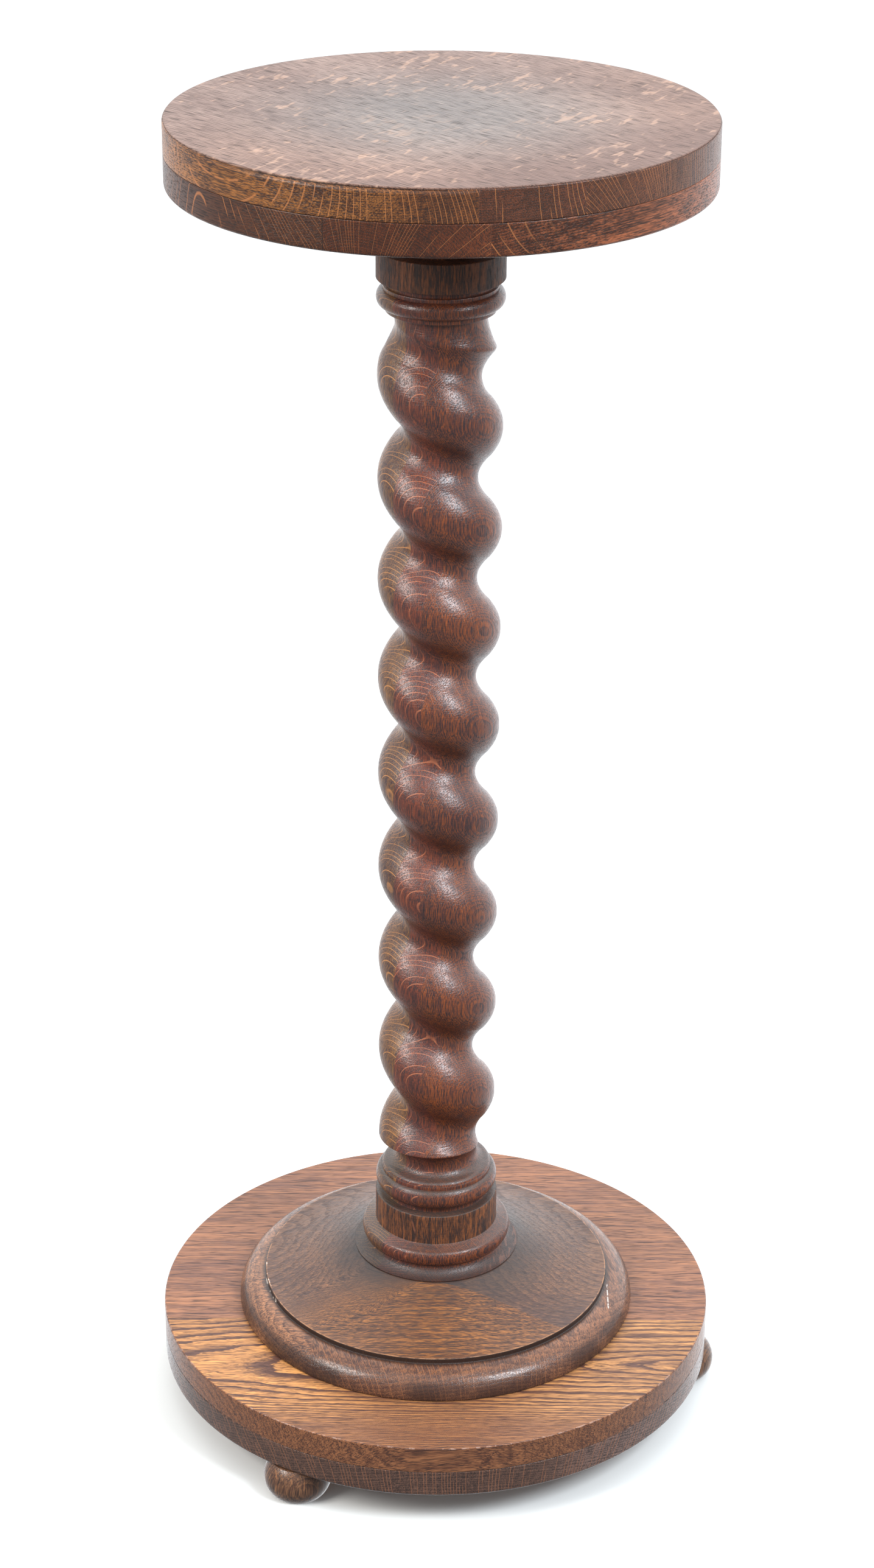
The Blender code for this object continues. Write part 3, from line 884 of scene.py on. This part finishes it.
def plinth_oak():
    """The joint is where y plus x times (slope plus bow times x) passes a level, softly at the left. The
    rest is told by the distance from the axis: seat, dish, rubbed rim, shadow under the step, ovolo."""
    material, place, _ = blank_material("plinth_oak", 0.33)
    x, y, _ = parts_of(place)
    radius = from_axis(place)
    reach = radius_of("plinth")
    rim = reach - OVOLO_WIDTH
    blur = between(step_up(x, -0.055, -0.010), 0.024, JOINT_BLUR)
    behind = step_up(x * (x * JOINT_BOW + JOINT_SLOPE) + y, PLINTH_JOINT - blur, blur + PLINTH_JOINT)
    on_ovolo = step_up(radius, rim - 0.2 * MM, rim + 0.2 * MM)
    front = plank(place, (0.0, 0.5, 1.0), (1.0, 0.0, 0.02), (0.0, -0.16, -0.05))
    back = plank(place, (0.0, 0.2, 1.0), (1.0, 0.12, 0.0), (0.0, 0.05, -0.09))
    left = plank(place, UP, level_way(-12.0), (0.0, -0.03, -0.30))
    right = plank(place, UP, level_way(-75.0), (0.0, 0.0, -0.30))
    ring, _ = glued(x, [OVOLO_JOINT], [left, right])
    wood = blend_places(on_ovolo, blend_places(behind, front, back), ring)
    amber = blend(step_up(x, -0.130, -0.075), tone(220, 94, 41), tone(282, 106, 29))
    ends = step_up(calc("ABSOLUTE", x), 0.065, 0.120)
    end_tone = blend(step_up(x, -0.02, 0.02), tone(340, 150, 72), tone(230, 100, 54))
    ovolo_light = blend(ends, tone(190, 80, 40), end_tone)
    figure = {
        "Ring Width": 0.0026, "Ring Wander": 0.003, "Pore Width": 0.00031, "Pore Length": 0.0050,
        "Pore Cover": 0.7, "Pith Distance": 0.38, "Ray Spacing": 0.0038, "Ray Width": 0.00028,
        "Ray Reach": 0.09, "Ray Height": 0.03, "Ray Cover": between(on_ovolo, 0.25, 0.75),
        "Fibre Width": 0.0005, "Fibre Length": 0.0050,
    }
    stain = {
        "Light": coated(amber, [(behind, tone(170, 78, 40)), (on_ovolo, ovolo_light)]),
        "Dark": coated(tone(85, 34, 18), [(behind, tone(60, 30, 24)), (on_ovolo, tone(62, 27, 20))]),
        "Pore Colour": tone(30, 17, 14), "Ray Colour": tone(380, 140, 50), "Ring Strength": 0.35,
        "Pore Strength": between(calc("MAXIMUM", on_ovolo, behind), 0.8, 0.5), "Ray Strength": 0.5,
        "Sheen": between(on_ovolo, 0.34, 0.12), "Patchiness": 1.4,
    }
    colour, rough, relief = oak(wood, figure, stain)
    # Grime and painted shade darken the dish round the foot of the column.
    grime_and_shade = between(step_up(noise(place, 30.0, 3.0), 0.35, 0.7), 0.60, 0.95) * between(behind, 0.25, 1.0)
    grime_and_shade = (1.0 - step_up(radius, 0.064, 0.100)) * grime_and_shade
    marks = step_up(noise(vector(radius * TURNING_MARKS, 0.0, 0.0)), 0.50, 0.64) * 0.30
    under = (1.0 - step_up(radius, rim + 0.5 * MM, rim + 5.0 * MM)) * on_ovolo * 0.6
    shadow = calc("MAXIMUM", near(radius, rim + 0.3 * MM, 0.55 * MM) * 0.9, under)
    # The ovolo is darker in patches towards its outer foot.
    dark_foot_band = step_up(radius, reach - 7.0 * MM, reach - 3.0 * MM) * step_up(noise(place, 14.0), 0.42, 0.62)
    patchy = noise(place, 160.0, 3.0)
    rubbed = near(radius, rim - 0.55 * MM, 0.4 * MM) * step_up(patchy, 0.35, 0.6)
    at_left = near(along(place, level_way(-110.0)), 0.060, 0.034) * calc("LESS_THAN", x, 0.0)
    chips = near(radius, rim - 0.3 * MM, 0.8 * MM) * at_left * step_up(patchy, 0.54, 0.66)
    scratch = near(x, SCRATCH[0], SCRATCH_WIDTH) * near(y, SCRATCH[1], SCRATCH_LENGTH) * on_ovolo
    scratch = scratch * step_up(noise(place, 420.0), 0.40, 0.54)
    coats = [
        (grime_and_shade, tone(26, 21, 20)), (marks, tone(50, 30, 24)), (shadow, tone(22, 13, 11)),
        (dark_foot_band * 0.75, tone(26, 14, 12)), (rubbed * 0.6, tone(360, 170, 80)),
        (chips * 0.7, tone(550, 450, 380)), (scratch * 0.7, tone(550, 500, 460)),
    ]
    relief = calc("SINE", radius * TOOL_RINGS) * 0.10 + relief
    return finish(material, coated(colour, coats), rough, relief, 0.22)


dish_oak = plinth_oak()
print("plinth oak:", len(dish_oak.node_tree.nodes), "nodes")

# %% [markdown]
# ## Oak of the base
# The upper layer of the base is two boards along X. The front one was cut near its pith, so its rings
# spread as a cathedral, golden at the front and redder at the rim. Its upper rim has small nicks. The
# layer under it runs across, so its edge at the front is end grain with thin upright rays.

# %% Material: base oak
BASE_JOINT = -42.0 * MM


def base_oak():
    """Light goes from red at the front rim to gold, and is plain brown behind the joint and on the edge.
    The rings grow wider from the front to the joint. Nicks lie where the radius and the height meet the
    rim and a fine noise is high."""
    material, place, _ = blank_material("base_oak", 0.25)
    x, y, z = parts_of(place)
    radius = from_axis(place)
    reach, top = radius_of("base_board_upper"), levels("base_board_upper")[1]
    front = plank(place, UP, (1.0, 0.0, 0.105), (0.0, -0.105, 0.045))
    back = plank(place, (0.0, 1.0, 0.5), (1.0, 0.01, 0.0), (0.0, -0.25, -0.1))
    wood, (behind,) = glued(y, [BASE_JOINT], [front, back])
    on_edge = step_up(radius, reach - 1.2 * MM, reach - 0.2 * MM)
    beside = blend(step_up(x, -0.01, 0.01), tone(600, 265, 80), tone(515, 237, 79))
    gold = blend(step_up(calc("ABSOLUTE", x), 0.03, 0.09), tone(400, 173, 58), beside)
    light = [(step_up(y, -0.19, -0.15), gold), (behind, tone(325, 134, 61)), (on_edge, tone(280, 114, 52))]
    calm = between(behind, 1.0, 0.16) * between(step_up(y, -0.21, -0.16), 0.7, 1.0)
    figure = {
        "Ring Width": between(step_up(y, -0.205, -0.140), 0.0030, 0.0062),
        "Ring Wander": 0.0042, "Ring Fall": 4.2, "Ring Fray": 0.0026, "Pore Width": 0.00036,
        "Pore Length": 0.0075, "Pore Cover": 0.6, "Ray Spacing": 0.01, "Ray Width": 0.0003,
        "Ray Reach": 0.02, "Ray Cover": 0.2, "Fibre Width": 0.0005, "Fibre Length": 0.012,
    }
    stain = {
        "Light": coated(tone(310, 126, 46), light), "Dark": blend(behind, tone(85, 34, 22), tone(95, 40, 30)),
        "Pore Colour": tone(42, 21, 17), "Ray Colour": tone(380, 170, 80),
        "Ring Strength": between(on_edge, 1.7, 0.4) * calm, "Pore Strength": 0.75, "Ray Strength": 0.2,
        "Contrast": between(on_edge, 0.5, 1.0), "Patchiness": 0.8, "Sheen": between(on_edge, 0.33, 0.20),
    }
    colour, rough, relief = oak(wood, figure, stain)
    at_rim = near(radius, reach - 0.4 * MM, 0.45 * MM) * step_up(z, top - 1.1 * MM, top - 0.6 * MM)
    nicks = at_rim * step_up(noise(place, 190.0, 3.0, 0.65), 0.50, 0.60) * 0.38
    return finish(material, blend(nicks, colour, tone(450, 290, 230)), rough, relief, 0.3)


def base_edge_oak():
    """End grain with its pith far below, so that the rays stand nearly upright. It is painted paler and
    greyer at the right, as sheen.
    """
    material, place, _ = blank_material("base_edge_oak", 0.25)
    wood = plank(place, (0.05, 0.0, 1.0), (0.0, 1.0, 0.0), (0.02, 0.0, -0.35))
    # Painted sheen: the edge turns paler and greyer towards the right.
    sheen_at_right = step_up(parts_of(place)[0], 0.06, 0.16)
    figure = {
        "Ring Width": 0.0022, "Pore Width": 0.0004, "Pore Cover": 0.3, "Pith Distance": 0.40,
        "Ray Spacing": 0.0024, "Ray Width": 0.00028, "Ray Cover": 0.75, "Fibre Length": 0.008,
    }
    stain = {
        "Light": blend(sheen_at_right, tone(160, 84, 60), tone(250, 150, 125)), "Dark": tone(45, 28, 24),
        "Pore Colour": tone(22, 15, 13), "Ray Colour": tone(300, 120, 60), "Ring Strength": 0.5,
        "Pore Strength": 0.6, "Ray Strength": 0.9, "Contrast": 0.7, "Streakiness": 0.7, "Sheen": 0.18,
    }
    return finish(material, *oak(wood, figure, stain), 0.3)


board_oak, under_oak = base_oak(), base_edge_oak()
print("base oak:", len(board_oak.node_tree.nodes), "and", len(under_oak.node_tree.nodes), "nodes")

# %% [markdown]
# ## Oak of the top's edge
# Both layers of the top are glued from strips. At each joint the rays on the edge change their slant,
# because every strip had its pith in another place: above, below or to the side. The strips of the upper
# layer run away to the front right, and the lower layer is three blocks, with a dark joint at the front
# left and a closed one further right.

# %% Material: edge oak
TOP_LEVEL = 1.0
UPPER_JOINTS = (-107.0 * MM, -42.0 * MM, 55.0 * MM)
# Way from the pith, its place across the strips and its height over the top
UPPER_STRIPS = ((DOWN, -0.161, 0.18), (DOWN, -0.10, 0.25), (UP, 0.040, -0.097), (UP, 0.11, -0.40))
LEFT_JOINT, RIGHT_JOINT = -27.9 * MM, 78.0 * MM
GLUE_LEVEL = levels("top_board_upper")[1] - 0.5 * MM


def pith(azimuth, offset, rise):
    """Point of a pith, at an offset along an azimuth and a rise over the top."""
    across = level_way(azimuth, offset)
    return (across[0], across[1], TOP_LEVEL + rise)


def upper_edge_oak():
    """Four strips, each with its tone, amber at the left. Glue and painted shade in its open gap show as a
    dark line under the veneer where the height is within half a millimetre of the joint, over the front left."""
    material, place, _ = blank_material("upper_edge_oak", 0.25)
    measure = along(place, level_way(42.0))
    strips = [
        plank(place, way, level_way(-48.0), pith(42.0, offset, rise)) for way, offset, rise in UPPER_STRIPS
    ]
    wood, steps = glued(measure, UPPER_JOINTS, strips)
    amber = blend(step_up(measure, -0.170, -0.125), tone(275, 106, 28), tone(126, 44, 16))
    tones = [tone(115, 38, 20), tone(125, 42, 20), tone(80, 25, 14)]
    figure = {
        "Ring Width": 0.0016, "Ring Wander": 0.001, "Pore Length": 0.005,
        "Pith Distance": steps[2] * 0.24 + between(steps[1], 0.19, 0.11), "Ray Spacing": 0.0024,
        "Ray Width": 0.00026, "Ray Height": 0.007, "Ray Cover": between(steps[0] - steps[1], 0.85, 0.6),
        "Fibre Width": 0.0005, "Fibre Length": 0.005,
    }
    stain = {
        "Light": coated(amber, zip(steps, tones)), "Dark": tone(44, 18, 11), "Pore Colour": tone(18, 11, 9),
        "Ray Colour": tone(360, 135, 45), "Pore Strength": 0.65, "Ray Strength": 0.7, "Sheen": 0.32,
        "Patchiness": 2.0,
    }
    colour, rough, relief = oak(wood, figure, stain)
    # Dark glue line with painted shade in its open gap, over the front left.
    glue_and_gap_shade = step_up(parts_of(place)[2], GLUE_LEVEL - 0.5 * MM, GLUE_LEVEL)
    glue_and_gap_shade = glue_and_gap_shade * step_up(along(place, level_way(-118.0)), 0.175, 0.188) * 0.9
    return finish(material, blend(glue_and_gap_shade, colour, tone(10, 9, 9)), rough, relief, 0.3)


def lower_edge_oak():
    """Three blocks. The left and the middle one show end grain, with a dark joint between them, and the
    right one turns to long grain, where no rays face out."""
    material, place, _ = blank_material("lower_edge_oak", 0.25)
    measure = along(place, level_way(-15.0))
    blocks = [
        plank(place, DOWN, level_way(-55.7), pith(34.3, -0.19, 0.04)),
        plank(place, UP, level_way(-105.0), (-0.058, -0.20, TOP_LEVEL - 0.090)),
        plank(place, UP, (0.70, 0.71, 0.02), (0.30, 0.0, TOP_LEVEL - 0.20)),
    ]
    wood, steps = glued(measure, [LEFT_JOINT, RIGHT_JOINT], blocks)
    long_grain = step_up(measure, 0.06, 0.12)
    block_tone = blend(long_grain, tone(106, 29, 12), tone(280, 85, 36))
    figure = {
        "Ring Width": 0.0018, "Ring Wander": 0.001, "Pore Length": 0.005,
        "Pith Distance": between(steps[0], 0.13, 0.065), "Ray Spacing": 0.0019, "Ray Width": 0.00017,
        "Ray Height": 0.010, "Ray Cover": 0.7, "Fibre Width": 0.0005, "Fibre Length": 0.005,
        "Facing": 1.0 - step_up(measure, 0.075, 0.125),
    }
    stain = {
        "Light": blend(steps[0], tone(82, 31, 16), block_tone), "Dark": tone(36, 14, 9),
        "Pore Colour": tone(16, 10, 8), "Ray Colour": tone(330, 120, 40), "Pore Strength": 0.65,
        "Ray Strength": 0.75, "Sheen": 0.32, "Patchiness": 1.5, "Contrast": between(long_grain, 1.0, 0.6),
    }
    colour, rough, relief = oak(wood, figure, stain)
    joint = near(measure, LEFT_JOINT, 0.35 * MM) * 0.8
    return finish(material, blend(joint, colour, tone(12, 8, 7)), rough, relief, 0.3)


upper_edge, lower_edge = upper_edge_oak(), lower_edge_oak()
print("edge oak:", len(upper_edge.node_tree.nodes), "and", len(lower_edge.node_tree.nodes), "nodes")

# %% [markdown]
# ## Oak of the veneer
# The sheet on the top is quarter-sawn: the rays lie nearly in its face and show as pale flecks across the
# grain. Years of light have bleached its middle, and the rim stays redder, painted greyer at the back left as
# sheen. It looks pale because the sky of the studio shines on it.

# %% Material: top oak
FLECK_SIZES = (0.022, 0.010, 0.0062)


def veneer_oak():
    """Flecks are where a stretched noise plus a slow one that crowds them passes a level, and they fade
    towards the middle. The tones go from the rim's, darker at the front right and painted greyer at the back
    left as sheen, to a bleached grey."""
    material, place, _ = blank_material("top_oak", 0.25)
    wood = plank(place, level_way(47.0), level_way(-43.0), pith(47.0, -0.6, 0.0))
    radius = from_axis(place)
    slanted = plank(place, level_way(61.0), level_way(-29.0), (0.0, 0.0, TOP_LEVEL))
    spots = noise(stretched(slanted, FLECK_SIZES), 1.0, 2.0, 0.6)
    flecks = step_up(noise(place, 16.0, 1.0) * 0.42 + spots, 0.80, 0.91)
    bleached = 1.0 - step_up(radius, 0.03, 0.17)
    front_right = step_up(along(place, level_way(-48.0)), 0.06, 0.17)
    # Painted sheen: the rim's tone turns greyer and bluer towards the back left.
    sheen_at_back = step_up(along(place, level_way(125.0)), -0.04, 0.12)
    rim = blend(sheen_at_back, tone(300, 176, 126), tone(290, 194, 156))
    light = [(front_right, tone(170, 94, 70)), (bleached, tone(255, 200, 172))]
    figure = {
        "Ring Width": 0.0026, "Ring Wander": 0.001, "Pore Width": 0.00032, "Pore Length": 0.008,
        "Fibre Width": 0.00042, "Fibre Length": 0.010,
    }
    stain = {
        "Rays": flecks * between(step_up(radius, 0.03, 0.10), 0.25, 1.0),
        "Light": coated(rim, light),
        "Dark": blend(bleached, tone(105, 52, 38), tone(85, 70, 66)),
        "Pore Colour": tone(20, 13, 11), "Ray Colour": tone(500, 300, 200), "Ring Strength": 0.35,
        "Ray Strength": 0.36, "Sheen": 0.47, "Contrast": 0.9, "Streakiness": 0.5,
    }
    return finish(material, *oak(wood, figure, stain), 0.2)


sheet_oak = veneer_oak()
print("top oak:", len(sheet_oak.node_tree.nodes), "nodes")

# %% [markdown]
# ## Give every piece its oak
# The three feet share one wood, and every other piece has its own.

# %% Put the materials on the pieces
FINISHES = {
    "column": turned_oak, "plinth": dish_oak, "base_board_lower": under_oak, "base_board_upper": board_oak,
    "top_board_lower": lower_edge, "top_board_upper": upper_edge, "top_veneer": sheet_oak,
}
for node, (piece, slot) in STANDS_FOR.items():
    piece.data.materials.append(FINISHES.get(node, ball_oak))
    print(piece.name, "wears", piece.data.materials[0].name)

# %% [markdown]
# ## Floor and studio
# The photograph was made on a white floor before a white wall, with two soft boxes in front, one on each
# side. The floor is a plain pale plane. The world is white to the camera. For the light it is bright
# overhead and a little brighter still behind the stand, which gives the sides their white sheen.

# %% Floor and world


def plain(name, colour, roughness):
    """Material of one colour."""
    material = bpy.data.materials.new(name)
    material.use_nodes = True
    wire(material.node_tree.nodes["Principled BSDF"], {"Base Color": colour, "Roughness": roughness})
    return material


FLOOR_HALF = 12.0
corners = [(x * FLOOR_HALF, y * FLOOR_HALF, 0.0) for x, y in ((-1, -1), (1, -1), (1, 1), (-1, 1))]
floor_mesh = bpy.data.meshes.new("floor")
floor_mesh.from_pydata(corners, [], [(0, 1, 2, 3)])
floor = bpy.data.objects.new("floor", floor_mesh)
bpy.context.scene.collection.objects.link(floor)
floor.data.materials.append(plain("floor_white", tone(655, 650, 635), 0.9))
floor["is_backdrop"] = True
floor.visible_diffuse = False
floor.visible_glossy = False

SKY_LEVEL = 0.37
SKY_TOP, TOP_POWER = 1.45, 1.6
SKY_BACK, BACK_POWER = 2.0, 2.5
SKY_RIGHT = 0.35
SKY_COLOUR = tone(920, 965, 1000)
WHITE = tone(1000, 1000, 1000)


def studio_world():
    """Strength = level + top times the upward part to a power + back times the part behind to a power,
    which is a little more to the right. The camera sees plain white."""
    world = bpy.data.worlds.new("studio")
    world.use_nodes = True
    nodes = world.node_tree.nodes
    x, y, z = parts_of(Value(nodes.new("ShaderNodeTexCoord").outputs["Generated"]))
    overhead = calc("POWER", calc("MAXIMUM", z, 0.0), TOP_POWER)
    behind = calc("POWER", y * 0.5 + 0.5, BACK_POWER) * (x * SKY_RIGHT + 1.0)
    glow = behind * SKY_BACK + (overhead * SKY_TOP + SKY_LEVEL)
    seen = Value(nodes.new("ShaderNodeLightPath").outputs["Is Camera Ray"])
    look = {"Strength": calc("MAXIMUM", glow, seen), "Color": blend(seen, SKY_COLOUR, WHITE)}
    wire(nodes["Background"], look)
    return world


bpy.context.scene.world = studio_world()
print("floor of", 2.0 * FLOOR_HALF, "m and a white studio")

# %% [markdown]
# ## Lamps
# The highlights on the twist tell where the lamps stood: on each ridge the mirror direction of the view
# points to azimuth -60 and elevation 31 for the left one, and to 50 and 39 for the right one. The right
# lamp is stronger and a little bluer.

# %% Lamps
AIM = Vector((0.0, 0.0, 0.55))
LAMP_DISTANCE = 2.6


def soft_box(name, azimuth, elevation, size, power, colour):
    """Square lamp that looks at the middle of the stand. Azimuth 0 is the camera's side, positive to
    the right."""
    light = bpy.data.lights.new(name, "AREA")
    light.size = size
    light.energy = power
    light.color = colour
    lamp = bpy.data.objects.new(name, light)
    a, e = math.radians(azimuth), math.radians(elevation)
    way = Vector((math.sin(a) * math.cos(e), -math.cos(a) * math.cos(e), math.sin(e)))
    lamp.location = AIM + way * LAMP_DISTANCE
    lamp.rotation_euler = (-way).to_track_quat("-Z", "Y").to_euler()
    bpy.context.scene.collection.objects.link(lamp)
    return lamp


lamps = [
    soft_box("soft_box_left", -60.0, 31.0, 1.1, 66.0, (1.0, 0.985, 0.95)),
    soft_box("soft_box_right", 50.0, 39.0, 1.0, 88.0, (0.85, 0.93, 1.0)),
]
print("lamps:", ", ".join(f"{lamp.name} at {tuple(round(v, 2) for v in lamp.location)}" for lamp in lamps))

# %% [markdown]
# ## Camera
# The place and the lens come from the photograph: the ellipses of the top and the base and the height of
# the column fit this view within a pixel or two.

# %% Camera
CAMERA_PLACE = Vector((0.0, -2.300, 1.573))
PITCH = math.radians(24.90)
YAW = math.radians(-0.024)
ROLL = math.radians(0.298)
IMAGE_HEIGHT = 2576
FOCAL_PIXELS = 5708.8
forward = Vector((math.sin(YAW) * math.cos(PITCH), math.cos(YAW) * math.cos(PITCH), -math.sin(PITCH)))
level = Vector((math.cos(YAW), -math.sin(YAW), 0.0))
upright = level.cross(forward)
right = math.cos(ROLL) * level + math.sin(ROLL) * upright
up = -math.sin(ROLL) * level + math.cos(ROLL) * upright
camera = bpy.data.objects.new("camera", bpy.data.cameras.new("camera"))
camera.data.sensor_width = 36.0
camera.data.lens = FOCAL_PIXELS / IMAGE_HEIGHT * camera.data.sensor_width
rows = [(right[i], up[i], -forward[i], CAMERA_PLACE[i]) for i in range(3)]
camera.matrix_world = Matrix(rows + [(0.0, 0.0, 0.0, 1.0)])
bpy.context.scene.collection.objects.link(camera)
bpy.context.scene.camera = camera
bpy.context.scene.view_settings.view_transform = "Standard"
print("camera at", tuple(round(v, 3) for v in CAMERA_PLACE), "lens", round(camera.data.lens, 2), "mm")

# %% [markdown]
# ## Sizes
# The box of the fine surfaces and the box of the imported solids are printed side by side. The fine
# surfaces must fill the same box as the imported solids.

# %% Print the sizes
boxes = {"cad": cad_box, "visual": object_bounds()}
for name, box in boxes.items():
    print(name, [round(value, 5) for corner in box for value in corner])
